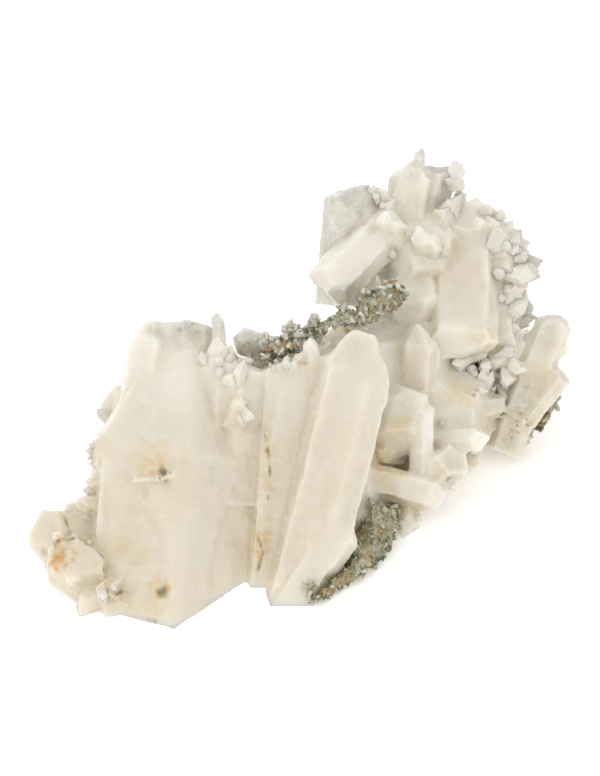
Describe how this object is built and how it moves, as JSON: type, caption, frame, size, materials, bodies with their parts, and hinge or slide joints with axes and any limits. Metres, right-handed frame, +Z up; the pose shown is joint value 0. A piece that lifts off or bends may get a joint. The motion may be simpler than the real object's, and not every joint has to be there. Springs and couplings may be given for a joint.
{
  "type": "quartz crystal cluster",
  "caption": "Milky quartz crystal cluster: broad prisms and clearer points grown together on a flat broken foot, with dark green chlorite crusts.",
  "frame": {"origin": "on the floor, under the middle of the cluster's bounding box", "axes": "+X to the right across the front, along the longest side; +Y away from the viewer; +Z up from the flat foot"},
  "size_m": [0.1854, 0.1722, 0.0904],
  "materials": {
    "quartz": "milky cream quartz, satin natural faces with clear grey points and faint iron stain",
    "chlorite": "matt granular dark green crust with brown and cream grains"
  },
  "bodies": {
    "root": {"quartz_cluster": "quartz", "chlorite_seam": "chlorite", "chlorite_foot": "chlorite", "chlorite_rim": "chlorite"}
  },
  "joints": []
}
